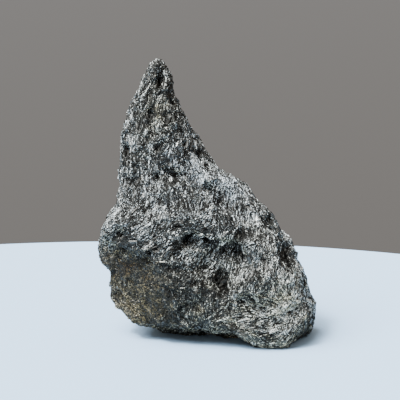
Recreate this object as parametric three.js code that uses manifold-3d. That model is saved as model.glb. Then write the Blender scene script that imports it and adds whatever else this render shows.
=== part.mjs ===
// A rough nuummite specimen: one broken lump of amphibole rock, standing on a flat break.
// It is a thick leaning slab with a narrow spire at the upper left, a shoulder that overhangs on the
// left, a hollow in the middle of the front, and a heavy foot at the lower right.
//
// Millimetres, +Z up, X to the right and Y away from the viewer. The origin is the bottom centre of the
// bounding box. The solid is one signed field, below zero inside the rock, built up as rock breaks:
// an outline seen from the front, flat breaks that cut it to depth, lumps left standing, hollows where
// pieces came away, and a relief that follows the grain. The field is then turned into a closed mesh.

import * as THREE from "three";
import { ImprovedNoise } from "three/addons/math/ImprovedNoise.js";
import { mergeVertices } from "three/addons/utils/BufferGeometryUtils.js";
import Module from "manifold-3d";

// ---- Driving dimensions, mm ----
const WIDTH = 64; // left shoulder to right foot
const HEIGHT = 81; // base to the tip of the spire
const DEPTH = 41; // front to back
const CELL = 1.85; // spacing of the sampling grid
const MARGIN = 9; // empty space kept round the rock inside the grid
const TOUCH = 0.02; // how deep inside the rock a filled gap is taken to be
const STEP = 0.3; // how far each way the field is read for its slope
const LEAST_SLOPE = 0.25; // the squared slope below which a vertex is moved no further

const EDGE_ROUND = 1.6; // how softly two breaks meet
const FRESH_ROUND = 0.7; // how softly the fresh breaks and the bite meet the rest
const CORNER_ROUND = 1.5; // how softly the surfaces inside the bite meet
const BITE_RELIEF = 0.45; // the share of the relief that the bite's surfaces have
const WORN_RIM = 2.5; // how softly the rim of a worn hollow turns over
const SHARP_RIM = 0.9; // and of a pit or a fresh scar
const RAGGED = 0.7; // how far the edges of the hollows wander
const RAGGED_LENGTH = 4; // and over what length
const LUMP_BLEND = 3.5; // how softly a lump grows out of the rock
const LUMP_RELIEF = 1.2; // height of the broad unevenness
const LUMP_LENGTH = 13; // and its wavelength
const LUMP_OCTAVE = 2.1; // how much finer its second layer is, at half the height
const GRAIN_RELIEF = 0.5; // height of the ledges and grooves along the grain
const GRAIN_LENGTH = 15; // their wavelength along the grain
const GRAIN_PITCH = 4; // and across it
const GRAIN_SHARPNESS = 3; // how much deeper the grooves are than the ledges are high
const GRAIN_LEAN = 38; // degrees that the grain rises to the right at the base
const GRAIN_STEEPENS = 0.55; // degrees that it steepens by for each mm up
const GRAIN_WANDER = 25; // degrees that it wanders either way
const WANDER_LENGTH = 30; // and over what length
const SEED_SHIFT = 11.29; // how far apart the noise is read for each of its uses

// The front outline, clockwise from the tip, as [x, z].
const OUTLINE = [
  [-12.2, 81.2], [-11, 77.2], [-9.2, 72.6], [-7.6, 66.3], [-4.2, 59.1], [-1.4, 55.6], [0.4, 51.9],
  [3.2, 48.3], [9.8, 44.8], [13.4, 40.4], [19.2, 34.4], [24.2, 27.2], [25.2, 21.5],
  [28.6, 17], [29.8, 13], [31.2, 9.4], [30.8, 3], [30.6, -4], [-30, -4],
  [-30, 3], [-28.4, 10.5], [-29.1, 15], [-28.6, 19.8], [-30.8, 22.2], [-31.4, 25.6],
  [-30.6, 30], [-29.4, 34.2], [-26.4, 37.5], [-25.6, 42.3], [-25.8, 47], [-25, 56.7],
  [-24.6, 62.1], [-22.6, 67.8], [-19, 73], [-18.2, 77], [-16.8, 80.2], [-14.6, 82],
];

// Flat breaks: a point on the plane, then the way it faces as degrees turned right of the viewer
// and degrees tipped up. Each wedge of rock is what lies behind all of its breaks.
const WEDGES = [
  {
    name: "body",
    breaks: [
      { name: "front face", at: [0, -15.5, 27], turn: 0, tip: 10 },
      { name: "lower front", at: [8, -16.8, 10], turn: 3, tip: -4 },
      { name: "lower middle", at: [-4, -15.8, 14], turn: -10, tip: -15 },
      { name: "left front", at: [-24, -12.5, 31], turn: -40, tip: 4 },
      { name: "right crest", at: [8, -6, 43.5], turn: 70, tip: 45 },
      { name: "right slope", at: [10, -10.5, 37], turn: 28, tip: 34 },
      { name: "left shoulder top", at: [-28, -5, 35], turn: -50, tip: 32 },
      { name: "back face", at: [0, 16.5, 15], turn: 176, tip: 9 },
      { name: "back right", at: [24, 8, 15], turn: 128, tip: 18 },
      { name: "back left", at: [-26, 8, 25], turn: 228, tip: 6 },
      { name: "back slant", at: [14, 14, 30], turn: 156, tip: 34 },
      { name: "foot top", at: [30, -3, 13], turn: 60, tip: 24 },
    ],
  },
  {
    name: "spire",
    breaks: [
      { name: "spire front", at: [-16, -10.8, 50], turn: -8, tip: 13 },
      { name: "spire right front", at: [-11.6, -9.6, 62], turn: 33, tip: 9 },
      { name: "spire left", at: [-26.8, 1, 61], turn: -44, tip: 15 },
      { name: "spire right", at: [-1.5, 2, 59], turn: 56, tip: 15 },
      { name: "spire back", at: [-15, 9, 60], turn: 184, tip: 12 },
      { name: "spire back left", at: [-25, 4, 58], turn: 236, tip: 8 },
      { name: "spire back right", at: [-3, 4, 58], turn: 122, tip: 24 },
      { name: "spire foot", at: [-13, 12, 38], turn: 180, tip: -50 },
    ],
  },
];

// Lumps left standing and hollows: centre, half-lengths, and a tilt in degrees about Y, turning
// them anticlockwise in the front view. A hollow also has the softness of its rim.
const LUMPS = [
  { name: "left shoulder", at: [-23, -8, 34], half: [8.5, 8.8, 6.5], tilt: 18 },
  { name: "belly", at: [-8, -8, 34], half: [13, 8.5, 9], tilt: 35 },
  { name: "right shoulder", at: [8, -2, 40], half: [10, 7, 5], tilt: -38 },
  { name: "shoulder crest", at: [4.4, -6, 47.2], half: [4.6, 5, 2.2], tilt: -14 },
  { name: "right mass", at: [17.5, -8.5, 20], half: [8.5, 9.5, 13], tilt: 12 },
  { name: "hollow's ridge", at: [12, -13.4, 25], half: [2.8, 5.4, 9.5], tilt: 0 },
  { name: "lower slab", at: [13, -10.6, 7], half: [18, 7.5, 6.2], tilt: -13 },
  { name: "tip knob", at: [-14.3, -0.5, 77.5], half: [3, 3.6, 4.2], tilt: 0 },
  { name: "back rib", at: [-9, 13, 32], half: [4.5, 5, 17], tilt: 24 },
  { name: "back foot", at: [12, 13, 8], half: [13, 6.5, 7], tilt: 8 },
];
const HOLLOWS = [
  { name: "under the front", at: [-12, -17, -1], half: [28, 17.5, 6.6], tilt: 0, rim: WORN_RIM },
  { name: "slab crease", at: [11, -21.5, 14.6], half: [8, 5, 1.6], tilt: -16, rim: WORN_RIM },
  { name: "back scoop", at: [8, 24, 26], half: [12, 9, 9], tilt: -30, rim: WORN_RIM },
  { name: "middle hollow", at: [3, -19.6, 25.4], half: [8.4, 9, 8.2], tilt: -30, rim: SHARP_RIM },
  { name: "lower pit of the hollow", at: [4, -14.4, 18.6], half: [2.6, 4.4, 3.6], tilt: -24, rim: SHARP_RIM },
  { name: "right pit of the hollow", at: [6.8, -12, 28], half: [3.6, 3, 2.6], tilt: -40, rim: SHARP_RIM },
  { name: "left pit of the hollow", at: [-1.6, -14, 24], half: [3.4, 3, 1.5], tilt: 28, rim: SHARP_RIM },
  { name: "upper pit of the hollow", at: [-0.6, -13.6, 31], half: [3.4, 3, 1.6], tilt: -14, rim: SHARP_RIM },
  { name: "belly pit", at: [-6.4, -16.4, 31.4], half: [2.2, 3, 1.5], tilt: 34, rim: SHARP_RIM },
  { name: "shoulder groove", at: [1.2, -12.6, 45.6], half: [4.4, 4.4, 1.6], tilt: 14, rim: SHARP_RIM },
  { name: "neck pit", at: [-11.6, -13, 49.4], half: [4.2, 4, 2], tilt: -6, rim: SHARP_RIM },
  { name: "upper neck pit", at: [-9.6, -12, 56.5], half: [2.8, 4, 2.2], tilt: 40, rim: SHARP_RIM },
  { name: "spire groove", at: [-13.4, -6.2, 75], half: [1.8, 4.4, 5], tilt: -8, rim: SHARP_RIM },
  { name: "spire pit", at: [-17.4, -9, 67.6], half: [1.8, 3.6, 2.6], tilt: 0, rim: SHARP_RIM },
  { name: "spire edge pit", at: [-24.2, -8, 55.6], half: [1.8, 3.6, 2.8], tilt: 0, rim: SHARP_RIM },
  { name: "shoulder pit", at: [-25, -15.6, 34], half: [2.4, 3.4, 1.5], tilt: 24, rim: SHARP_RIM },
  { name: "right pit", at: [21.8, -12.6, 27.2], half: [2.7, 6.4, 3.4], tilt: 14, rim: SHARP_RIM },
  { name: "crest pit", at: [10.4, -13.4, 36], half: [2.4, 4.8, 2], tilt: 10, rim: SHARP_RIM },
  { name: "slab pit", at: [14.4, -18.8, 13.4], half: [2.2, 4, 1.8], tilt: -20, rim: SHARP_RIM },
];

// The bite under the left shoulder, where a wedge of rock came away: its surfaces meet in a corner.
const BITE = [
  { name: "stained face", at: [-19, -10.6, 16], turn: -37, tip: -11 },
  { name: "shoulder's underside", at: [-22, -14, 28.6], turn: -55, tip: -64 },
  { name: "belly's flank", at: [-13, -15, 22], turn: -69, tip: -33 },
];

// Fresh breaks, later than the rest, that cut the lumps as well and keep sharp edges.
const FRESH_BREAKS = [
  { name: "foot side", at: [21.5, -16, 0], turn: 63, tip: -26 },
  { name: "slab's underside", at: [12, -16.2, 2.6], turn: -7, tip: -52 },
  { name: "left undercut", at: [-21, -7, 5.2], turn: -92, tip: -53 },
  { name: "back undercut", at: [-17, 12, 4], turn: 215, tip: -45 },
];

const noise = new ImprovedNoise();

function smoothMax(a, b, round) {
  const reach = Math.max(round - Math.abs(a - b), 0) / round;
  return Math.max(a, b) + reach * reach * round * 0.25;
}

const smoothMin = (a, b, round) => -smoothMax(-a, -b, round);

// Signed distance to the front outline in the XZ plane.
function outlineDistance(x, z) {
  let nearest = Infinity;
  let inside = false;
  OUTLINE.forEach(([x1, z1], i) => {
    const [x2, z2] = OUTLINE[(i + 1) % OUTLINE.length];
    const along = ((x - x1) * (x2 - x1) + (z - z1) * (z2 - z1)) / ((x2 - x1) ** 2 + (z2 - z1) ** 2);
    const t = THREE.MathUtils.clamp(along, 0, 1);
    nearest = Math.min(nearest, Math.hypot(x - x1 - t * (x2 - x1), z - z1 - t * (z2 - z1)));
    if (z1 > z !== z2 > z && x < x1 + ((z - z1) / (z2 - z1)) * (x2 - x1)) inside = !inside;
  });
  return inside ? -nearest : nearest;
}

// A break as a THREE.Plane whose normal faces out of the rock.
function breakPlane({ at, turn, tip }) {
  const [a, b] = [turn, tip].map(THREE.MathUtils.degToRad);
  const facing = new THREE.Vector3(Math.sin(a) * Math.cos(b), -Math.cos(a) * Math.cos(b), Math.sin(b));
  return new THREE.Plane().setFromNormalAndCoplanarPoint(facing, new THREE.Vector3(...at));
}

// A lump or hollow as a matrix that turns it into a unit sphere, with its least half-length.
function ellipsoid({ at, half, tilt }) {
  const turn = new THREE.Quaternion().setFromAxisAngle(
    new THREE.Vector3(0, 1, 0),
    -THREE.MathUtils.degToRad(tilt),
  );
  const place = new THREE.Matrix4().compose(new THREE.Vector3(...at), turn, new THREE.Vector3(...half));
  return { toUnit: place.invert(), least: Math.min(...half) };
}

const wedges = WEDGES.map(({ breaks }) => breaks.map(breakPlane));
const bite = BITE.map(breakPlane);
const freshBreaks = FRESH_BREAKS.map(breakPlane);
const lumps = LUMPS.map(ellipsoid);
const hollows = HOLLOWS.map((hollow) => ({ ...ellipsoid(hollow), rim: hollow.rim }));
const local = new THREE.Vector3();

function ellipsoidDistance({ toUnit, least }, p) {
  return (local.copy(p).applyMatrix4(toUnit).length() - 1) * least;
}

// Noise of about -1 to 1, another for each seed, of waves of the given length.
function waves(p, length, seed) {
  return noise.noise(...p.toArray().map((value) => value / length + SEED_SHIFT * seed));
}

// Broad unevenness, and ledges that run along the grain, which swings from slanting across the front
// to steep on the spire.
function relief(p) {
  const broad = waves(p, LUMP_LENGTH, 1) + waves(p, LUMP_LENGTH / LUMP_OCTAVE, 2) / 2;
  const lean = GRAIN_LEAN + GRAIN_STEEPENS * p.z + GRAIN_WANDER * waves(p, WANDER_LENGTH, 3);
  const swing = THREE.MathUtils.degToRad(lean);
  const along = p.x * Math.cos(swing) + p.z * Math.sin(swing);
  const across = -p.x * Math.sin(swing) + p.z * Math.cos(swing);
  const grain = noise.noise(along / GRAIN_LENGTH, across / GRAIN_PITCH, p.y / GRAIN_PITCH);
  return LUMP_RELIEF * broad + GRAIN_RELIEF * (1 - GRAIN_SHARPNESS * Math.abs(grain));
}

// The point moved a little aside, so that what is cut there has a ragged edge.
function ragged(p) {
  const aside = [4, 5, 6].map((seed) => 2 * RAGGED * waves(p, RAGGED_LENGTH, seed));
  return new THREE.Vector3(...aside).add(p);
}

function rockField(p) {
  let d = wedges
    .map((planes) => planes.map((plane) => plane.distanceToPoint(p)))
    .map((distances) => distances.reduce((a, b) => smoothMax(a, b, EDGE_ROUND)))
    .reduce((a, b) => smoothMin(a, b, LUMP_BLEND));
  for (const lump of lumps) d = smoothMin(d, ellipsoidDistance(lump, p), LUMP_BLEND);
  d = smoothMax(d, outlineDistance(p.x, p.z), EDGE_ROUND);
  const q = ragged(p);
  for (const hollow of hollows) d = smoothMax(d, -ellipsoidDistance(hollow, q), hollow.rim);
  const rough = relief(p);
  d -= rough;
  const bitten = bite
    .map((plane) => plane.distanceToPoint(p))
    .reduce((a, b) => smoothMin(a, b, CORNER_ROUND));
  d = smoothMax(d, bitten - BITE_RELIEF * rough, FRESH_ROUND);
  for (const plane of freshBreaks) d = smoothMax(d, plane.distanceToPoint(p), FRESH_ROUND);
  return d;
}

// The vertex moved onto the surface, up or down the field's slope.
function settle(field, vertex, reach) {
  const slope = new THREE.Vector3();
  [0, 1, 2].forEach((axis) => {
    const [before, after] = [-STEP, STEP].map((step) => {
      const beside = vertex.clone();
      return field(beside.setComponent(axis, beside.getComponent(axis) + step));
    });
    slope.setComponent(axis, (after - before) / (2 * STEP));
  });
  const move = slope.multiplyScalar(-field(vertex) / Math.max(slope.lengthSq(), LEAST_SLOPE));
  return vertex.add(move.clampLength(0, reach));
}

// Where the rock's corners of a cell face lie on one diagonal only, two sheets of the surface would
// share an edge. The shallower gap between them is filled, until no such face is left.
function fillDiagonals(values, strides) {
  const faces = [[0, 1], [1, 2], [2, 0]].map(([u, v]) => [strides[u], strides[v]]);
  let filled = true;
  while (filled) {
    filled = false;
    for (let here = 0; here < values.length; here++)
      for (const [u, v] of faces) {
        const [a, b, c, d] = [here, here + u, here + u + v, here + v].map((corner) => values[corner]);
        if (a < 0 !== c < 0 || b < 0 !== d < 0 || a < 0 === b < 0) continue;
        const gap = a < 0 ? (b < d ? here + u : here + v) : a < c ? here : here + u + v;
        values[gap] = -TOUCH;
        filled = true;
      }
  }
}

// Surface nets: one vertex in each grid cell that the surface crosses, at the mean of its crossings,
// and one quad round each grid edge that the surface crosses.
function meshOfField(field, box, cell) {
  const size = box.getSize(new THREE.Vector3());
  const [nx, ny, nz] = size.toArray().map((s) => Math.ceil(s / cell) + 1);
  const at = (i, j, k) => new THREE.Vector3(i, j, k).multiplyScalar(cell).add(box.min);
  const index = (i, j, k) => i + nx * (j + ny * k);
  const values = new Float32Array(nx * ny * nz);
  for (let k = 0; k < nz; k++)
    for (let j = 0; j < ny; j++)
      for (let i = 0; i < nx; i++) values[index(i, j, k)] = field(at(i, j, k));
  const strides = [1, nx, nx * ny];
  fillDiagonals(values, strides);

  const positions = [];
  const vertexOf = new Map();
  const corners = [0, 1, 2, 3, 4, 5, 6, 7].map((c) => [c & 1, (c >> 1) & 1, c >> 2]);
  for (let k = 0; k < nz - 1; k++)
    for (let j = 0; j < ny - 1; j++)
      for (let i = 0; i < nx - 1; i++) {
        const sum = new THREE.Vector3();
        let crossings = 0;
        corners.forEach(([a, b, c], one) =>
          [1, 2, 4].forEach((step) => {
            if (one & step) return;
            const [a2, b2, c2] = corners[one | step];
            const v1 = values[index(i + a, j + b, k + c)];
            const v2 = values[index(i + a2, j + b2, k + c2)];
            if (v1 < 0 === v2 < 0) return;
            sum.add(at(i + a, j + b, k + c).lerp(at(i + a2, j + b2, k + c2), v1 / (v1 - v2)));
            crossings++;
          }),
        );
        if (!crossings) continue;
        vertexOf.set(index(i, j, k), positions.length / 3);
        positions.push(...settle(field, sum.divideScalar(crossings), cell / 3).toArray());
      }

  const triangles = [];
  for (let k = 1; k < nz - 1; k++)
    for (let j = 1; j < ny - 1; j++)
      for (let i = 1; i < nx - 1; i++)
        strides.forEach((step, axis) => {
          const here = index(i, j, k);
          if (values[here] < 0 === values[here + step] < 0) return;
          const u = strides[(axis + 1) % 3];
          const v = strides[(axis + 2) % 3];
          const [a, b, c, d] = [here - u - v, here - v, here, here - u].map((cellAt) => vertexOf.get(cellAt));
          if (values[here] < 0) triangles.push(a, b, c, a, c, d);
          else triangles.push(a, c, b, a, d, c);
        });
  return { positions: new Float32Array(positions), triangles: new Uint32Array(triangles) };
}

const wasm = await Module();
wasm.setup();

// The closed mesh of a geometry as a manifold-3d solid, placed by its own vertices.
function solidOf(geometry) {
  const bare = geometry.clone();
  bare.deleteAttribute("normal");
  bare.deleteAttribute("uv");
  const merged = mergeVertices(bare);
  return new wasm.Manifold(
    new wasm.Mesh({
      numProp: 3,
      vertProperties: new Float32Array(merged.attributes.position.array),
      triVerts: new Uint32Array(merged.index.array),
    }),
  );
}

// The rock, cut off flat at the plane that it stands on.
function rockGeometry() {
  const box = new THREE.Box3(
    new THREE.Vector3(-WIDTH / 2 - MARGIN, -DEPTH / 2 - MARGIN, -MARGIN),
    new THREE.Vector3(WIDTH / 2 + MARGIN, DEPTH / 2 + MARGIN, HEIGHT + MARGIN),
  );
  const { positions, triangles } = meshOfField(rockField, box, CELL);
  const rough = new THREE.BufferGeometry()
    .setAttribute("position", new THREE.BufferAttribute(positions, 3))
    .setIndex(new THREE.BufferAttribute(triangles, 1));
  const below = new THREE.BoxGeometry(3 * WIDTH, 3 * DEPTH, 6 * MARGIN).translate(0, 0, -3 * MARGIN);
  const pieces = solidOf(rough).subtract(solidOf(below)).decompose();
  const cut = pieces.reduce((a, b) => (b.volume() > a.volume() ? b : a)).getMesh(); // no bubbles or chips
  const geometry = new THREE.BufferGeometry()
    .setAttribute("position", new THREE.BufferAttribute(cut.vertProperties, 3))
    .setIndex(new THREE.BufferAttribute(cut.triVerts, 1));
  geometry.computeBoundingBox();
  const centre = geometry.boundingBox.getCenter(new THREE.Vector3());
  geometry.translate(-centre.x, -centre.y, 0);
  geometry.computeVertexNormals();
  return geometry;
}

const nuummite = new THREE.MeshStandardMaterial({ color: 0x6e7170, roughness: 0.5, metalness: 0 });
const rock = new THREE.Mesh(rockGeometry(), nuummite);
rock.name = "nuummite_stone";

const specimen = new THREE.Group();
specimen.add(rock);

export default specimen;
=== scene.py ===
import math
from collections import namedtuple

import bmesh
import bpy
import numpy as np
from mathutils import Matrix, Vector, noise
from mathutils.bvhtree import BVHTree
from mathutils.kdtree import KDTree


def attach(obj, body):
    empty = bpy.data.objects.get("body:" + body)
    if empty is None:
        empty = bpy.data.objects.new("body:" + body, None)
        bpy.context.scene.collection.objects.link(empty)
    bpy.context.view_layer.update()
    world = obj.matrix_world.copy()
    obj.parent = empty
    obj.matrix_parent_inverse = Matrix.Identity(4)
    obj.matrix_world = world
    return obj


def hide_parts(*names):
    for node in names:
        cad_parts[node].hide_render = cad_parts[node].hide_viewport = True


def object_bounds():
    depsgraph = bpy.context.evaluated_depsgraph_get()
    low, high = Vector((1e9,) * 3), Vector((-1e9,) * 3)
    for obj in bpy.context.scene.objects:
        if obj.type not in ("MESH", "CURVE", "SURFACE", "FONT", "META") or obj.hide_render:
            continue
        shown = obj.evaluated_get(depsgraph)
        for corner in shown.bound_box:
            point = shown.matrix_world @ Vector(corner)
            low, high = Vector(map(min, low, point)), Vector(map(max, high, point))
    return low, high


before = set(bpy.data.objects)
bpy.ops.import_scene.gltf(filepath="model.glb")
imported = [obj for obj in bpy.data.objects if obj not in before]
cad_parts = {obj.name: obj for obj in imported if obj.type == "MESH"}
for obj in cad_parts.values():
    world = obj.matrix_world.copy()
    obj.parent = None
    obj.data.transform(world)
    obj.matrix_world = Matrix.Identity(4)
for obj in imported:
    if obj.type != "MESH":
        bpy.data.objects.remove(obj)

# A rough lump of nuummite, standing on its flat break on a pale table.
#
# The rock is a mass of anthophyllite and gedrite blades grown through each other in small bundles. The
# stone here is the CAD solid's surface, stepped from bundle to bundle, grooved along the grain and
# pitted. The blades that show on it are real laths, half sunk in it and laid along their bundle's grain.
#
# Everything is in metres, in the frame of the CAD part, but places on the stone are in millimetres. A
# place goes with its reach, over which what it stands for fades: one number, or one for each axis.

MM = 0.001
cad_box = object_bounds()
LOW, HIGH = (np.array(corner) for corner in cad_box)

# ---- Camera, light and table ----
VIEW_TILT = 11  # degrees that the camera looks down
VIEW_DISTANCE = 420 * MM
VIEW_WIDTH = 115.2 * MM  # how much of the table the camera takes in at the stone
VIEW_CENTRE = Vector((-2.3, 0, 40.2)) * MM
SENSOR = 36  # mm across
DAYLIGHT = "#dfeefb"
ROOM = "#e9e6e2"
ROOM_STRENGTH = 0.65
TABLE_RADIUS = 240 * MM
TABLE_MIDDLE = (-28 * MM, -115 * MM)
FLOOR_RADIUS = 4
FLOOR_DROP = 0.4 * MM

# ---- Finish ----
AMPHIBOLE_IOR = 1.64
SHINE = "#fff1de"  # the shine is slightly bronze
FLECK = 0.3 * MM  # across the paler and darker flecks on a blade
FLECK_CONTRAST = 2.6
FLECK_LEVEL = 1.35  # taken off again, so that a blade keeps about its own tone
CRUMB = 0.32 * MM  # across the broken blades and powder between the blades

# Straw, iron stain, rust and cool, each multiplied into the rock's colour. Straw is earth and a painted
# warm cast in shade; cool is the grey of clean cleavages and a painted cool sheen.
TINTS = {"straw": "#f3e8cc", "stain": "#e5d3b2", "rust": "#c4a488", "cool": "#e4ebf5"}

# ---- Grain ----
# Where the bundles lie in one direction: a place on the stone, the angle in degrees anticlockwise from
# level as seen from the front, and its reach.
GRAIN = [
    ((-15, -4, 74), 78, 8),
    ((-22, -6, 57), 86, 7),
    ((-16, -8, 57), 78, 5),
    ((-12.5, -9, 57), 48, 3),
    ((-7.5, -9, 56), 66, 3),
    ((-5, -9, 52), 105, 6),
    ((-17, -10, 45), 70, 6),
    ((-24, -8, 45), 76, 4),
    ((-2, -10, 45.5), 70, 3),
    ((-8, -12, 44), 128, 4),
    ((-28.5, -8, 34), 57, 3.5),
    ((-23, -10, 34.5), 30, 4.5),
    ((-12, -12, 33), 42, 6),
    ((-5, -14, 30), 30, 6),
    ((7, -9, 43), 86, 6),
    ((15, -9, 35), 96, 6),
    ((13, -12, 30), 64, 3),
    ((18.5, -10, 30), 34, 3.5),
    ((0, -13, 25), 42, 5),
    ((-12.5, -13, 25), 77, 3.5),
    ((-12.5, -14, 20), 66, 3.5),
    ((10, -13, 24), 76, 5),
    ((20, -12, 22), 78, 5),
    ((-1, -14, 19), 28, 4),
    ((4, -14, 18), 72, 4),
    ((-12, -15, 14), 90, 6),
    ((-2, -15, 13), 100, 5),
    ((-22, -10, 14), 118, 6),
    ((-7, -15, 9), 162, 4),
    ((3, -15, 10), 28, 3),
    ((8, -17, 9.5), 0, 3.5),
    ((14, -17, 12), 152, 4),
    ((23.5, -13, 14.5), 20, 3),
    ((21, -17, 9), 36, 4),
    ((11, -17, 3.5), 167, 4),
    ((29, -12, 7), 73, 4),
    ((14, 14, 16), 140, 14),
    ((-6, 14, 34), 105, 14),
    ((-20, 12, 16), 60, 14),
    ((-14, 6, 66), 80, 12),
]
BUNDLES = 2000  # about 2.6 mm across each
BUNDLE_TURN = 18  # degrees, as a spread, that a bundle lies away from the grain
BUNDLE_STEP = 0.26  # mm, as a spread, that a bundle stands above or below its neighbours
BUNDLE_TONE = 0.07  # as a spread, that a bundle is paler or darker than its neighbours
BUNDLE_EDGE = (0.6, 1.3, 11)  # how its border wanders: by some mm, in waves of some mm, and the seed
GRAIN_STRETCH = 6  # how many times longer than wide the waves along the grain are
SEED_STEP = 9.7  # how far apart in the noise the waves of two seeds lie

# ---- Relief ----
# Waves in the surface: their size and height in mm, and their seed.
GROOVES = (1.6, 0.7, 19)
SPLINTERS = (0.7, 0.2, 20)
SWELLS = (5, 0.3, 21)
SKIN = 0.1  # mm that the whole surface lies inside the CAD surface, before its relief
TONED_RELIEF = 0.6  # mm up or down, past which relief adds no more painted shade or painted light to the tone
BASE_HEIGHT = 0.05 * MM  # what lies lower belongs to the flat face that the stone stands on
BARE_HEIGHT = 0.3 * MM  # nothing is scattered on the triangles that reach lower

# The tip has less relief, the spire's right side is worn back by some mm, and the lower left corner is
# fuller by some mm: a place, its reach and how much.
TIP = ((-14.5, -2, 81), 4, 0.8)
SPIRE_SIDE = ((-9, 0, 68), (5, 20, 8), 0.9)
LOW_CORNER = ((-23.5, -7, 7), (3.5, 5, 3), 1.3)

# ---- Tones and stains ----
# Waves of paler and darker rock, of the whole and along the grain: size in mm, height in tone and seed.
CLOUDS = ((5, 0.05, 3), (13, 0.06, 4))
STREAKS = ((0.8, 0.24, 22), (1.9, 0.14, 23))

# Where the rock is paler or darker than elsewhere: a place, its reach, and by how much. Some are the
# rock's own tone and some are painted light: painted shade under the left shoulder's overhang, painted
# highlights on the top of the left shoulder and on the crest of the right shoulder, and on the low middle
# a darker lit top over a paler shaded face, painted against their shading.
TONES_AND_PAINTED_LIGHT = [
    ((-9.1, -6, 69.3), 3.2, 0.25),
    ((-12.3, -5, 73), 1.7, -0.5),
    ((-13.6, -6, 62.8), 9, -0.11),
    ((-21.1, -5, 57.8), 3, 0.2),
    ((-23.1, -5, 53.3), 2.2, -0.3),
    ((-7.1, -9, 53.3), 2.4, -0.15),
    ((-3.7, -9, 49.3), 3.5, 0.26),
    ((1.9, -8, 49.8), 1.6, -0.45),
    # painted highlight on the crest of the right shoulder
    ((3.8, -8, 46.3), 4.5, 0.46),
    ((12.8, -8, 39.8), 2.2, -0.16),
    ((12.3, -10, 36.3), 2, 0.25),
    ((-15.9, -9, 46.5), 2, 0.45),
    ((-12.2, -10, 46.3), 1.8, -0.4),
    ((-19.5, -9, 39.3), (2, 6, 9), -0.2),
    ((-2.5, -12, 44.6), (4, 4, 1.6), -0.2),
    ((7.8, -11.5, 36.3), 2.2, -0.3),
    ((-16.7, -10, 39.8), 4, 0.28),
    ((-15.2, -11, 32.3), 2, 0.25),
    ((-11.9, -12, 32.5), 2, -0.18),
    # painted highlight on the top of the left shoulder
    ((-26.2, -8, 33.3), 3.6, 0.5),
    # painted shade under the left shoulder's overhang
    ((-23, -15.5, 31), (3, 4, 2), -0.5),
    ((-9, -13, 26.4), 2, -0.5),
    ((-3.2, -13, 28.3), 3.5, 0.3),
    ((12.8, -11, 31.8), 2.4, -0.25),
    ((15, -12, 26.2), 4, 0.27),
    ((9, -14.5, 21.4), 2, 0.3),
    ((11.8, -19, 21.7), 1.7, -0.4),
    ((22.4, -10, 26.4), 2.4, -0.3),
    ((-6, -14, 10.4), 8, -0.1),
    ((3.5, -15, 14.9), 3, -0.2),
    ((18, -12, 19.4), 10, 0.08),
    ((22.5, -15, 10.4), 6, 0.36),
    # painted against the shading: the lit top made darker, and the shaded face below it made paler
    ((-8, -14, 19.9), 2.6, -0.3),
    ((-6, -15, 13.9), 2.5, 0.22),
    ((-14, -12, 4.4), 4, -0.2),
    ((17, -16, 4.5), 2, -0.25),
]

# Smooth cleavages, wider than a blade, with an even grey sheen: a place, its reach and how smooth it is.
# Above one, more of its middle is wholly smooth.
SMOOTH_PLACES = [
    ((-10.9, -9, 53.6), (2.2, 3, 1.7), 1.3),
    ((-3.5, -9, 48.4), (1.7, 3, 3.4), 1.3),
    ((-18.1, -11, 32.9), (1.5, 2.5, 1.2), 1.3),
]
SMOOTH_EVENER = 0.6  # how much of the spread of tones goes where it is wholly smooth
SMOOTH_PALER = 0.12
SMOOTH_FLATTER = 0.6  # how much of a blade's height goes

# A painted cool sheen, the grey-blue of a highlight, on the crest of the right shoulder.
PAINTED_SHEEN_PLACES = [((7, -7, 45.6), 4, 0.8)]

# The low middle, worn to a more even tone: a place, its reach and how much, and the tone.
WORN_PLACE = ((-6, -15, 10), (7, 6, 6), 0.4)
WORN_TONE = 0.5

# The fresh break at the right end of the foot, which faces away from the light: a place on it and its
# facing. Painted shade makes it darker than the rest.
FOOT_BREAK = ((21.5, -16, 0), (0.8, -0.41, -0.44))
BREAK_DEPTH = 0.6  # mm behind the break's plane that still belong to it
# painted shade on the break, taken off its tone
BREAK_PAINTED_SHADE = 0.3

# The film of iron stain on the face under the left shoulder: a place and its reach. It hides and wears
# the blades under it: where it is full, these shares of them go and their tones change by so much.
FILM_PLACE = ((-21, -9, 16), (9.5, 9, 10))
FILM_SPREAD = (2, 0.3)  # times nearness, less this much: full over its middle, with an edge
FILM_RAGGED = 0.4  # of the unevenness of the other stains
FILM_FLATTER = 0.45  # of the relief
FILM_SHORTER = 0.65
FILM_NARROWER = 0.25
FILM_LOWER = 0.25  # of a blade's height, that it sinks
FILM_EVENER = 0.5  # of the spread of tones
FILM_DARKER = 0.09
FILM_POWDER = 0.2  # how much paler the ground is under it
FILM_TURN = 2  # radians, as a spread, that the blades lie away from their bundle under it

# Rust along the film's upper edge, and the straw tint: earth on the spire and the right side, and a
# painted warm cast in the shaded low middle and under the left shoulder. Each is a place, its reach and
# how much.
RUST_PLACES = [
    ((-24, -9, 22.5), (4.5, 5, 2), 0.7),
    ((-17, -13, 19), (2, 4, 1.5), 0.49),
]
EARTH_AND_WARMTH_PLACES = [
    ((-14, -6, 67), (4, 6, 8), 0.6),
    ((17, -14, 20), (9, 9, 11), 0.25),
    ((-3, -15, 12), (8, 5, 7), 0.5),
    ((-24, -10, 26), (8, 5, 3), 0.4),
    ((19, -15, 16.5), (4, 5, 2.5), 0.5),
]
PAINTED_WARMTH_BELOW = 0.95  # painted warm cast on faces that look straight down, against the blue light that the table reflects up onto them
# The same painted warm cast on the foot's break, and low down, fading over the foot's height.
PAINTED_WARMTH_ON_BREAK = 0.5
PAINTED_WARMTH_AT_FOOT = 0.25
FOOT_HEIGHT = 14 * MM
STAIN_EDGE = (2.5, 0.9, 5)  # waves that make the stains uneven: size in mm, height and seed

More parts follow.
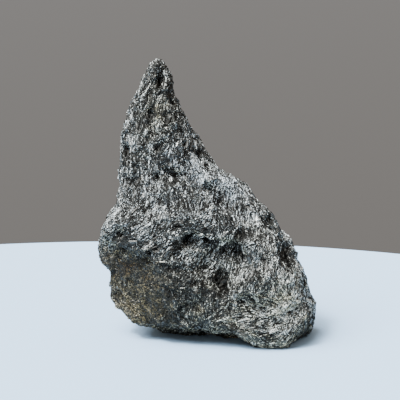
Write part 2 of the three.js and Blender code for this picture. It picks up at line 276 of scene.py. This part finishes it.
# ---- Pits ----
# Pits on the front: x and z of the middle, radius and depth.
PITS = [
    (22.6, 26.4, 2.1, 2.4),
    (23, 24.8, 1.8, 2.2),
    (8.9, 33.1, 1.8, 1.6),
    (17.6, 35.5, 1.4, 1.2),
    (-1.6, 24.7, 1.6, 0.4),
    (3.3, 20.4, 1.9, 1.2),
    (4.1, 17.8, 1.8, 1.3),
    (14.4, 12.4, 1.3, 0.6),
    (-8.9, 36.5, 1.5, 1.1),
    (-14.7, 48.5, 1.4, 1.4),
    (-10.3, 48.3, 1.7, 1.4),
    (-2.4, 54.4, 1.1, 1),
    (0.1, 50.8, 1.1, 1),
    (-23.8, 54.6, 1.6, 1.2),
    (-5.7, 31.7, 1.8, 1.4),
    (-24.5, 32.5, 0.9, 0.7),
    (2.9, 42.5, 1.6, 1),
    (-16.8, 65.6, 1.4, 1.2),
    (7.1, 28.3, 1.6, 0.4),
    (2.3, 27.9, 1.6, 0.4),
]
SMALL_PITS = 220
SMALL_PIT_RADIUS = (0.5, 1.2)
SMALL_PIT_DEPTH = 0.8  # of its radius
PIT_EDGES = ((0.9, 2.2, 17), (0.45, 0.8, 30))  # how they wander, as a bundle's do
PIT_MIDDLE = 1.5  # of its depth, cut off at 1 so that its floor is level
PIT_WALL = 1.3  # of its depth, that it loses over one radius
PIT_FACING = -0.1  # how far forward the rock looks where the pits on the front are
SHALLOW_PITS = ((-16, -10, 14), 9, 0.8)  # on the face under the left shoulder
PITS_BELOW = 72 * MM  # none in the tip

# ---- Blades ----
BLADE_TURN = 9  # degrees, as a spread, that a blade lies away from its bundle
BLADE_ROLL = 26  # degrees, as a spread, about its length
BLADE_TIP = 9  # degrees, as a spread, that one end stands higher
BLADE_HEIGHT = (0.6, 1.2)  # of its width
BLADE_LEAN = 0.35  # of its width, that its ridge is off its middle at most
BLADE_RISE = (-0.3, 0.5)  # of its height, that its middle is above the surface
EDGE_ON = 0.1  # what keeps blades from running straight back on faces seen edge on
LATH_TOP = 0.8  # of a blade's length, along its ridge
CELL_FILL = 0.8  # of its cell in the UV map, that a blade fills
PLATE_FLATTER = 0.7  # how much of its height a blade with a level top loses
PLATE_TONE = 0.6  # what a level top draws a tone towards
TONE_DRAW = (0.95, 1)  # the beta distribution that tones are drawn from: nearly even from 0 to 1
MIDDLE_DRAW = 0.45  # the draw that counts as middling
MIDDLE_TONE = 0.43  # and the tone that it is given
BLADE_PAINTED_HOLLOW_SHADE = 0.35  # painted shade: tone taken off for each mm that a blade lies in a groove or pit
GROUND_TONE = 0.72
GROUND_PAINTED_HOLLOW_SHADE = 0.5  # painted shade: tone taken off for each mm that the ground is sunk

Rock = namedtuple("Rock", "mesh sunk bundles surface")  # what the blades grow on


def stage_camera():
    """The camera looks a little down at the hollowed front."""
    data = bpy.data.cameras.new("camera")
    camera = bpy.data.objects.new("camera", data)
    bpy.context.scene.collection.objects.link(camera)
    tilt = math.radians(VIEW_TILT)
    back = Vector((0, -math.cos(tilt), math.sin(tilt)))
    camera.location = VIEW_CENTRE + back * VIEW_DISTANCE
    camera.rotation_euler = (-back).to_track_quat("-Z", "Y").to_euler()
    data.sensor_width = SENSOR
    data.lens = SENSOR * VIEW_DISTANCE / VIEW_WIDTH
    bpy.context.scene.camera = camera


def linear(code):
    """An sRGB hex colour as linear RGBA."""
    parts = [int(code[i : i + 2], 16) / 255 for i in (1, 3, 5)]
    return [c / 12.92 if c <= 0.04045 else ((c + 0.055) / 1.055) ** 2.4 for c in parts] + [1]


def soft_light(name, toward, spread, strength, colour):
    """An even soft light from one side of the sky: toward points at it, spread is its size in degrees."""
    data = bpy.data.lights.new(name, "SUN")
    data.angle = math.radians(spread)
    data.energy = strength
    data.color = linear(colour)[:3]
    light = bpy.data.objects.new(name, data)
    bpy.context.scene.collection.objects.link(light)
    light.rotation_euler = Vector(toward).to_track_quat("Z", "Y").to_euler()


def studio():
    """Soft light from above and the left, with a smaller lamp in it, in a dim grey room."""
    soft_light("key_light", (-0.5, -0.4, 1), 45, 10.5, DAYLIGHT)
    soft_light("lamp", (-0.5, -0.5, 1), 10, 5, DAYLIGHT)
    world = bpy.data.worlds.new("room")
    world.use_nodes = True
    room = world.node_tree.nodes["Background"]
    room.inputs["Color"].default_value = linear(ROOM)
    room.inputs["Strength"].default_value = ROOM_STRENGTH
    bpy.context.scene.world = world


# ---- Materials ----


def add(tree, kind, inputs=(), **settings):
    """One node with its settings; each input is a value, or the socket that is linked into it."""
    node = tree.nodes.new(kind)
    for name, value in settings.items():
        setattr(node, name, value)
    for name, value in dict(inputs).items():
        if isinstance(value, bpy.types.NodeSocket):
            tree.links.new(value, node.inputs[name])
        else:
            node.inputs[name].default_value = value
    return node


def new_material(name):
    """A material with its node tree, its shader and the coordinates of its piece."""
    material = bpy.data.materials.new(name)
    material.use_nodes = True
    tree = material.node_tree
    place = add(tree, "ShaderNodeTexCoord").outputs["Object"]
    return material, tree, tree.nodes["Principled BSDF"], place


def rock_colour(tree, tone, stops):
    """The rock's colour for a tone from 0 to 1, through the given hex colours.

    The piece's attributes say how much of each tint every spot has.
    """
    stone = add(tree, "ShaderNodeValToRGB", {"Fac": tone})
    points = stone.color_ramp.elements
    while len(points) < len(stops):
        points.new(0.5)
    for point, (position, code) in zip(points, stops):
        point.position = position
        point.color = linear(code)
    colour = stone.outputs["Color"]
    for label, code in TINTS.items():
        share = add(tree, "ShaderNodeAttribute", attribute_name=label).outputs["Fac"]
        mixed = {0: share, 6: colour, 7: linear(code)}
        tinted = add(tree, "ShaderNodeMix", mixed, data_type="RGBA", blend_type="MULTIPLY")
        colour = tinted.outputs[2]
    return colour


def blade_material():
    """Anthophyllite and gedrite, as grown: black to silvery grey, with a silky shine on the cleavages.

    Each blade has a tone of its own, and flecks vary it, where the cleavage steps or is bruised. In the
    rock they are a few hundredths of a millimetre across, and here as coarse as they need to be to show.
    The paler a spot is, the cleaner the cleavage that it shows, so the smoother it is.
    """
    material, tree, shader, place = new_material("amphibole_blades_as_grown")
    tone = add(tree, "ShaderNodeAttribute", attribute_name="tone").outputs["Fac"]
    flecks = add(tree, "ShaderNodeTexNoise", {"Vector": place, "Scale": 1 / FLECK, "Detail": 2})
    height = flecks.outputs["Fac"]
    varied = add(
        tree, "ShaderNodeMath", {0: height, 1: FLECK_CONTRAST, 2: tone}, operation="MULTIPLY_ADD"
    ).outputs[0]
    shade = add(tree, "ShaderNodeMath", {0: varied, 1: FLECK_LEVEL}, operation="SUBTRACT").outputs[0]
    stops = [(0, "#020201"), (0.25, "#080807"), (0.5, "#201e1d"), (0.75, "#63605c"), (1, "#f2ede2")]
    tree.links.new(rock_colour(tree, shade, stops), shader.inputs["Base Color"])
    rough = add(tree, "ShaderNodeMapRange", {"Value": shade, "To Min": 0.5, "To Max": 0.15})
    tree.links.new(rough.outputs["Result"], shader.inputs["Roughness"])
    bump = add(tree, "ShaderNodeBump", {"Height": height, "Strength": 0.5, "Distance": 0.1 * MM})
    tree.links.new(bump.outputs["Normal"], shader.inputs["Normal"])
    shader.inputs["IOR"].default_value = AMPHIBOLE_IOR
    shader.inputs["Specular IOR Level"].default_value = 0.4
    shader.inputs["Specular Tint"].default_value = linear(SHINE)
    return material


def ground_material():
    """The rock between the blades: their broken ends and powder, dark and dull, with grey specks."""
    material, tree, shader, place = new_material("broken_nuummite_ground")
    specks = add(tree, "ShaderNodeTexVoronoi", {"Vector": place, "Scale": 1 / CRUMB})
    speck = add(tree, "ShaderNodeSeparateColor", {"Color": specks.outputs["Color"]}).outputs[0]
    tone = add(tree, "ShaderNodeAttribute", attribute_name="tone").outputs["Fac"]
    shade = add(tree, "ShaderNodeMath", {0: speck, 1: tone}, operation="MULTIPLY").outputs[0]
    stops = [(0, "#030302"), (0.25, "#11100e"), (0.55, "#302f2a"), (1, "#838079")]
    tree.links.new(rock_colour(tree, shade, stops), shader.inputs["Base Color"])
    rough = add(tree, "ShaderNodeMapRange", {"Value": speck, "To Min": 0.55, "To Max": 0.8})
    tree.links.new(rough.outputs["Result"], shader.inputs["Roughness"])
    height = specks.outputs["Distance"]
    bump = add(tree, "ShaderNodeBump", {"Height": height, "Strength": 0.5, "Distance": 0.2 * MM})
    tree.links.new(bump.outputs["Normal"], shader.inputs["Normal"])
    shader.inputs["IOR"].default_value = AMPHIBOLE_IOR
    shader.inputs["Specular IOR Level"].default_value = 0.1
    shader.inputs["Specular Tint"].default_value = linear(SHINE)
    return material


# ---- Patterns over the stone ----


def waves(points, size, height, seed):
    """Smooth noise at each point, up and down by about a height, in waves of the given size in mm."""
    return height * np.array([noise.noise(p) for p in points / (size * MM) + SEED_STEP * seed])


def aside(points, by, size, seed):
    """The points shifted this way and that by about so many mm, in waves of the given size in mm."""
    shifts = [waves(points, size, 1, seed + axis) for axis in range(3)]
    return points + by * MM * np.stack(shifts, axis=1)


def nearness(points, place, reach, share=1):
    """The share at a place on the stone, falling to zero well beyond its reach."""
    away = (points / MM - place) / reach
    return share * np.exp(-0.5 * (away**2).sum(axis=1))


def fields(points, places):
    """How much the fields round some places come to at each point."""
    return sum(nearness(points, *place) for place in places)


def grain_angle(points):
    """The way the grain runs at each point, in radians anticlockwise from level in the front view."""
    sums = np.zeros((len(points), 2))
    for place, angle, reach in GRAIN:
        double = 2 * math.radians(angle)
        share = nearness(points, place, reach) + 1e-9
        sums += share[:, None] * [math.cos(double), math.sin(double)]
    return np.arctan2(sums[:, 1], sums[:, 0]) / 2


def along_grain(points):
    """The points with the stone drawn shorter along its grain, so that waves run along it."""
    angle = grain_angle(points)
    along = points[:, 0] * np.cos(angle) + points[:, 2] * np.sin(angle)
    across = -points[:, 0] * np.sin(angle) + points[:, 2] * np.cos(angle)
    return np.stack([along / GRAIN_STRETCH, across, points[:, 1]], axis=1)


def tone_shift(points):
    """How much paler or darker the rock is at each point: its own clouds and streaks, the listed tones,
    some of which are painted light, and painted shade on the foot's break.
    """
    fibre = along_grain(points)
    clouds = sum(waves(points, *layer) for layer in CLOUDS)
    streaks = sum(waves(fibre, *layer) for layer in STREAKS)
    return clouds + streaks + fields(points, TONES_AND_PAINTED_LIGHT) - BREAK_PAINTED_SHADE * foot_break(points)


def foot_break(points):
    """One at the points on the fresh break of the foot, and zero elsewhere."""
    place, facing = FOOT_BREAK
    return ((points / MM - place) @ facing > -BREAK_DEPTH).astype(float)


def smoothness(points):
    """How much each point is part of a smooth cleavage, from 0 to 1."""
    return np.clip(fields(points, SMOOTH_PLACES), 0, 1)


def stains(points, facing):
    """How much of each tint every point has, from 0 to 1, given which way the surface faces there.

    Stain is the film of iron on the face under the left shoulder, and rust is its upper edge. Straw is
    earth in places, and a painted warm cast against the table's blue light in shaded places, round the
    foot, on the foot's break and wherever the rock faces down. Cool is the grey of clean cleavages on the
    smooth places, and a painted cool sheen on the crest of the right shoulder.
    """
    ragged = 1 + waves(points, *STAIN_EDGE)
    times, less = FILM_SPREAD
    film = np.clip(times * nearness(points, *FILM_PLACE) - less, 0, 1)
    # straw: earth in places, and a painted warm cast where the rock is in shade
    earth_and_warmth = fields(points, EARTH_AND_WARMTH_PLACES) + PAINTED_WARMTH_ON_BREAK * foot_break(points)
    earth_and_warmth += PAINTED_WARMTH_AT_FOOT * np.exp(-0.5 * (points[:, 2] / FOOT_HEIGHT) ** 2)
    earth_and_warmth += PAINTED_WARMTH_BELOW * np.clip(-facing[:, 2], 0, 1)
    # cool: the grey of clean cleavages, and painted sheen on the crest
    cool = smoothness(points) + fields(points, PAINTED_SHEEN_PLACES)
    return {
        "straw": np.clip(earth_and_warmth * ragged, 0, 1),
        "stain": np.clip(film * (1 - FILM_RAGGED + FILM_RAGGED * ragged), 0, 1),
        "rust": np.clip(fields(points, RUST_PLACES) * ragged, 0, 1),
        "cool": np.clip(cool, 0, 1),
    }


def store(mesh, values):
    """Numbers for each vertex of a mesh, as named attributes that its material reads."""
    for label, numbers in values.items():
        mesh.attributes.new(label, "FLOAT", "POINT").data.foreach_set("value", numbers)


# ---- The stone ----


def mesh_arrays(mesh):
    """The vertices, vertex normals and triangles of a mesh."""
    mesh.calc_loop_triangles()
    points, normals = np.empty(len(mesh.vertices) * 3), np.empty(len(mesh.vertices) * 3)
    triangles = np.empty(len(mesh.loop_triangles) * 3, int)
    mesh.vertices.foreach_get("co", points)
    mesh.vertex_normals.foreach_get("vector", normals)
    mesh.loop_triangles.foreach_get("vertices", triangles)
    return points.reshape(-1, 3), normals.reshape(-1, 3), triangles.reshape(-1, 3)


def scatter(mesh, count, rng):
    """Random spots, evenly spread over a mesh: the triangle of each, its place and its facing."""
    points, normals, triangles = mesh_arrays(mesh)
    a, b, c = (points[triangles[:, i]] for i in range(3))
    area = np.linalg.norm(np.cross(b - a, c - a), axis=1)
    area[(points[triangles][:, :, 2] < BARE_HEIGHT).any(axis=1)] = 0
    chosen = rng.choice(len(triangles), count, p=area / area.sum())
    u, v = rng.random((2, count))
    over = u + v > 1
    u, v = np.where(over, 1 - u, u), np.where(over, 1 - v, v)
    place = a[chosen] + u[:, None] * (b - a)[chosen] + v[:, None] * (c - a)[chosen]
    facing = normals[triangles[chosen]].mean(axis=1)
    return triangles[chosen], place, facing / np.linalg.norm(facing, axis=1)[:, None]


def round_stone():
    """The CAD solid's surface with its facets rounded off, and a UV map for its finish."""
    bm = bmesh.new()
    bm.from_mesh(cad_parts["nuummite_stone"].data)
    bmesh.ops.remove_doubles(bm, verts=bm.verts, dist=0.001 * MM)
    bmesh.ops.join_triangles(
        bm, faces=bm.faces, angle_face_threshold=math.radians(60), angle_shape_threshold=math.radians(60)
    )
    mesh = bpy.data.meshes.new("broken_stone")
    bm.to_mesh(mesh)
    bm.free()
    while mesh.uv_layers:
        mesh.uv_layers.remove(mesh.uv_layers[0])
    mesh.uv_layers.new(name="OFBake")
    stone = bpy.data.objects.new("broken_stone", mesh)
    bpy.context.scene.collection.objects.link(stone)
    bpy.context.view_layer.objects.active = stone
    stone.select_set(True)
    bpy.ops.object.mode_set(mode="EDIT")
    bpy.ops.mesh.select_all(action="SELECT")
    bpy.ops.uv.smart_project(angle_limit=math.radians(66), island_margin=0.003)
    bpy.ops.object.mode_set(mode="OBJECT")
    smooth = stone.modifiers.new("rounded", "SUBSURF")
    smooth.levels = smooth.render_levels = 2
    rounded = stone.evaluated_get(bpy.context.evaluated_depsgraph_get())
    stone.data = bpy.data.meshes.new_from_object(rounded)
    stone.modifiers.clear()
    return stone


class Bundles:
    """The bundles of blades that the rock is made of, each with its own lie, height and tone."""

    def __init__(self, mesh, rng):
        _, self.middle, _ = scatter(mesh, BUNDLES, rng)
        self.turn = np.radians(BUNDLE_TURN) * rng.normal(size=BUNDLES)
        self.height = BUNDLE_STEP * rng.normal(size=BUNDLES)
        self.tone = BUNDLE_TONE * rng.normal(size=BUNDLES)
        self.tree = KDTree(BUNDLES)
        for index, middle in enumerate(self.middle):
            self.tree.insert(middle, index)
        self.tree.balance()

    def at(self, points):
        """The bundle that each point is in, with ragged borders between them."""
        return np.array([self.tree.find(p)[1] for p in aside(points, *BUNDLE_EDGE)])


def bowl(away):
    """How deep a pit is, from 0 to 1, at so many radii from its middle: a level floor and steep sides."""
    return np.clip(PIT_MIDDLE - PIT_WALL * away, 0, 1)


def pit_depth(points, normals, mesh, rng):
    """How deep the pits are at each point, in mm."""
    ragged = points
    for wander in PIT_EDGES:
        ragged = aside(ragged, *wander)
    depth = np.zeros(len(points))
    front = (normals[:, 1] < PIT_FACING) & (points[:, 1] < 0)
    for x, z, radius, deep in PITS:
        away = np.hypot(ragged[:, 0] / MM - x, ragged[:, 2] / MM - z) / radius
        depth = np.maximum(depth, front * deep * bowl(away))
    _, places, _ = scatter(mesh, SMALL_PITS, rng)
    radii = rng.uniform(*SMALL_PIT_RADIUS, SMALL_PITS)
    for place, radius in zip(places, radii):
        away = np.linalg.norm(ragged - place, axis=1) / MM / radius
        depth = np.maximum(depth, SMALL_PIT_DEPTH * radius * bowl(away))
    return depth * (1 - nearness(points, *SHALLOW_PITS)) * (points[:, 2] < PITS_BELOW)


def relief_depth(points, normals, bundles, film):
    """How deep the steps, grooves and splinters are at each point, in mm: less than zero stands out."""
    fibre = along_grain(points)
    grooves = np.abs(waves(fibre, *GROOVES)) + waves(fibre, *SPLINTERS)
    relief = grooves - bundles.height[bundles.at(points)] + waves(points, *SWELLS)
    relief *= (1 - nearness(points, *TIP)) * (1 - FILM_FLATTER * film)
    relief += nearness(points, *SPIRE_SIDE) * np.clip(normals[:, 0], 0, 1)
    return relief - nearness(points, *LOW_CORNER)


def break_up(stone, bundles, material, rng):
    """The rounded stone stepped, grooved and pitted, inside the CAD box.

    It gives back how far each vertex is sunk in a groove or pit, in mm.
    """
    mesh = stone.data
    points, normals, _ = mesh_arrays(mesh)
    pits = pit_depth(points, normals, mesh, rng)
    tints = stains(points, normals)
    film = tints["stain"]
    relief = relief_depth(points, normals, bundles, film)
    moved = points - normals * (SKIN + relief + pits)[:, None] * MM
    moved[:, 2] = np.where(points[:, 2] < BASE_HEIGHT, 0, moved[:, 2])
    moved = np.clip(moved, LOW, HIGH)
    mesh.vertices.foreach_set("co", moved.ravel())
    mesh.update()
    sunk = np.clip(relief, -TONED_RELIEF, TONED_RELIEF) + pits
    # Painted shade and light: the ground is darker for each mm it is sunk in a groove or pit, and paler
    # where the relief stands out.
    tone = GROUND_TONE + tone_shift(points) + FILM_POWDER * film - GROUND_PAINTED_HOLLOW_SHADE * sunk
    store(mesh, {"tone": np.clip(tone, 0, 1), **tints})
    mesh.materials.clear()
    mesh.materials.append(material)
    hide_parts("nuummite_stone")
    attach(stone, "root")
    return sunk


# ---- The blades ----


def lath(flat):
    """One blade, a unit long, wide and high: a ridge between two cleavage faces, with sloping ends.

    flat is how much of the width is left level on top; with none the blade has a sharp ridge.
    """
    bm = bmesh.new()
    bmesh.ops.create_cube(bm, size=1)
    for vert in bm.verts:
        if vert.co.z > 0:
            vert.co.x *= LATH_TOP
            vert.co.y *= flat
    bmesh.ops.remove_doubles(bm, verts=bm.verts, dist=0.001)
    bmesh.ops.recalc_face_normals(bm, faces=bm.faces)
    bmesh.ops.triangulate(bm, faces=bm.faces)
    corners = np.array([vert.co for vert in bm.verts])
    faces = np.array([[vert.index for vert in face.verts] for face in bm.faces])
    bm.free()
    return corners, faces


def in_plane(directions, normals):
    """Directions laid into the surface, as unit vectors."""
    flat = directions - (directions * normals).sum(1)[:, None] * normals
    return flat / np.maximum(np.linalg.norm(flat, axis=1)[:, None], 1e-6)


def turned(a, b, angles):
    """Two directions at right angles, turned towards each other by an angle in radians."""
    cos, sin = np.cos(angles)[:, None], np.sin(angles)[:, None]
    return a * cos + b * sin, b * cos - a * sin


def blade_frames(place, facing, angle, long, surface, rng):
    """Where each blade lies: its middle, its length, and its own three directions.

    It follows the slope of the surface so that it has its angle as seen from the front. Both its ends are
    brought to the surface, and then it is rolled and tipped a little.
    """
    count = len(place)
    run = np.stack([np.cos(angle), np.zeros(count), np.sin(angle)], axis=1)
    front = facing[:, 1]
    run[:, 1] = -(run * facing).sum(1) * front / (front**2 + EDGE_ON)
    axis = in_plane(run, facing)
    ends = [
        np.array([surface.find_nearest(p)[0] for p in place + sign * axis * long[:, None]])
        for sign in (-0.5, 0.5)
    ]
    axis = ends[1] - ends[0]
    reach = np.linalg.norm(axis, axis=1)
    axis /= reach[:, None]
    side = in_plane(np.cross(facing, axis), axis)
    up = np.cross(axis, side)
    side, up = turned(side, up, np.radians(BLADE_ROLL) * rng.normal(size=count))
    axis, up = turned(axis, up, np.radians(BLADE_TIP) * rng.normal(size=count))
    return (ends[0] + ends[1]) / 2, reach, axis, side, up


def place_laths(corners, lie, wide, high, flat, film, rng):
    """The corners of every blade in its place, its ridge off its middle and its foot in the rock."""
    middle, reach, axis, side, up = lie
    lean = rng.uniform(-BLADE_LEAN, BLADE_LEAN, len(wide))[:, None]
    lean = np.where(corners[None, :, 2] > 0, lean, 0) * (1 - flat)
    rise = rng.uniform(*BLADE_RISE, len(wide)) - FILM_LOWER * film
    x = corners[None, :, 0] * reach[:, None]
    y = (corners[None, :, 1] + lean) * wide[:, None]
    z = (corners[None, :, 2] + rise[:, None]) * high[:, None]
    points = (
        middle[:, None, :]
        + x[:, :, None] * axis[:, None, :]
        + y[:, :, None] * side[:, None, :]
        + z[:, :, None] * up[:, None, :]
    )
    return np.clip(points.reshape(-1, 3), LOW, HIGH)


def blade_tones(rock, triangle, place, film, flat, pale, rng):
    """The tone of each blade, from 0 to 1."""
    smooth = smoothness(place)
    drawn = rng.beta(*TONE_DRAW, len(place)) * (1 - flat) + PLATE_TONE * flat + pale
    even = (1 - FILM_EVENER * film) * (1 - SMOOTH_EVENER * smooth)
    tone = MIDDLE_TONE + (drawn - MIDDLE_DRAW) * even + SMOOTH_PALER * smooth - FILM_DARKER * film
    tone += (WORN_TONE - tone) * nearness(place, *WORN_PLACE)
    tone += rock.bundles.tone[rock.bundles.at(place)] + tone_shift(place)
    # Painted shade: a blade is darker for each mm that it lies in a groove or pit.
    return np.clip(tone - BLADE_PAINTED_HOLLOW_SHADE * rock.sunk[triangle].mean(axis=1), 0, 1)


def grow_blades(name, rock, material, count, length, width, seed, flat=0, pale=0):
    """Blades of one size class, joined in one mesh: length and width are ranges in mm.

    flat is how much of a blade's width is level on top, and pale is how much paler it is.
    """
    rng = np.random.default_rng(seed)
    triangle, place, facing = scatter(rock.mesh, count, rng)
    tints = stains(place, facing)
    film = tints["stain"]
    angle = grain_angle(place) + rock.bundles.turn[rock.bundles.at(place)]
    angle += np.radians(BLADE_TURN) * rng.normal(size=count)
    angle += FILM_TURN * film * rng.normal(size=count)
    long = rng.uniform(*length, count) * MM * (1 - FILM_SHORTER * film)
    wide = rng.uniform(*width, count) * MM * (1 - FILM_NARROWER * film)
    high = wide * rng.uniform(*BLADE_HEIGHT, count) * (1 - PLATE_FLATTER * flat)
    high *= 1 - SMOOTH_FLATTER * smoothness(place)
    lie = blade_frames(place, facing, angle, long, rock.surface, rng)
    corners, faces = lath(flat)
    points = place_laths(corners, lie, wide, high, flat, film, rng)
    triangles = (faces[None, :, :] + len(corners) * np.arange(count)[:, None, None]).reshape(-1, 3)
    mesh = bpy.data.meshes.new(name)
    mesh.from_pydata(points, [], triangles)
    tone = blade_tones(rock, triangle, place, film, flat, pale, rng)
    shares = {"tone": tone, **tints}
    store(mesh, {label: np.repeat(values, len(corners)) for label, values in shares.items()})
    lay_out(mesh, corners, faces, count)
    mesh.materials.append(material)
    piece = bpy.data.objects.new(name, mesh)
    bpy.context.scene.collection.objects.link(piece)
    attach(piece, "root")


def lay_out(mesh, corners, faces, count):
    """A UV map with one cell to each blade, seen from above its ridge."""
    side = math.ceil(math.sqrt(count))
    cell = np.stack([np.arange(count) % side, np.arange(count) // side], axis=1) / side
    seen = (corners[faces.ravel(), :2] * CELL_FILL + 0.5) / side
    uv = (cell[:, None, :] + seen[None, :, :]).reshape(-1, 2)
    mesh.uv_layers.new(name="OFBake").data.foreach_set("uv", uv.ravel())


def stage_disc(name, code, radius, middle, drop):
    """A plain matt disc under the stone, in a hex colour."""
    bm = bmesh.new()
    bmesh.ops.create_circle(bm, cap_ends=True, segments=160, radius=radius)
    bmesh.ops.translate(bm, vec=(*middle, -drop), verts=bm.verts)
    mesh = bpy.data.meshes.new(name)
    bm.to_mesh(mesh)
    bm.free()
    material, _, shader, _ = new_material(name + "_plain")
    shader.inputs["Base Color"].default_value = linear(code)
    shader.inputs["Roughness"].default_value = 0.6
    mesh.materials.append(material)
    board = bpy.data.objects.new(name, mesh)
    bpy.context.scene.collection.objects.link(board)


def table_top():
    """A pale round table, with its far edge behind the stone, just above a grey floor."""
    stage_disc("table", "#bcd4ea", TABLE_RADIUS, TABLE_MIDDLE, 0)
    stage_disc("surroundings", "#38312b", FLOOR_RADIUS, (0, 0), FLOOR_DROP)


def build_stone():
    """The stone and all its blades."""
    rng = np.random.default_rng(7)
    stone = round_stone()
    bundles = Bundles(stone.data, rng)
    sunk = break_up(stone, bundles, ground_material(), rng)
    surface = BVHTree.FromPolygons(
        [v.co for v in stone.data.vertices], [p.vertices for p in stone.data.polygons]
    )
    rock = Rock(stone.data, sunk, bundles, surface)
    blades = blade_material()
    grow_blades("cleavage_plates", rock, blades, 600, (1.2, 3), (0.6, 1.4), seed=10, flat=0.7)
    grow_blades("laths", rock, blades, 500, (2.4, 4.2), (0.3, 0.5), seed=17, pale=0.2)
    grow_blades("long_blades", rock, blades, 16000, (1.4, 3), (0.16, 0.26), seed=11)
    grow_blades("middling_blades", rock, blades, 24500, (0.9, 1.8), (0.15, 0.24), seed=12)
    grow_blades("slender_blades", rock, blades, 24500, (0.7, 1.4), (0.14, 0.2), seed=13)
    grow_blades("short_blades", rock, blades, 24500, (0.4, 0.9), (0.16, 0.24), seed=14)
    grow_blades("blade_ends", rock, blades, 24500, (0.25, 0.5), (0.16, 0.26), seed=15)


stage_camera()
studio()
table_top()
build_stone()
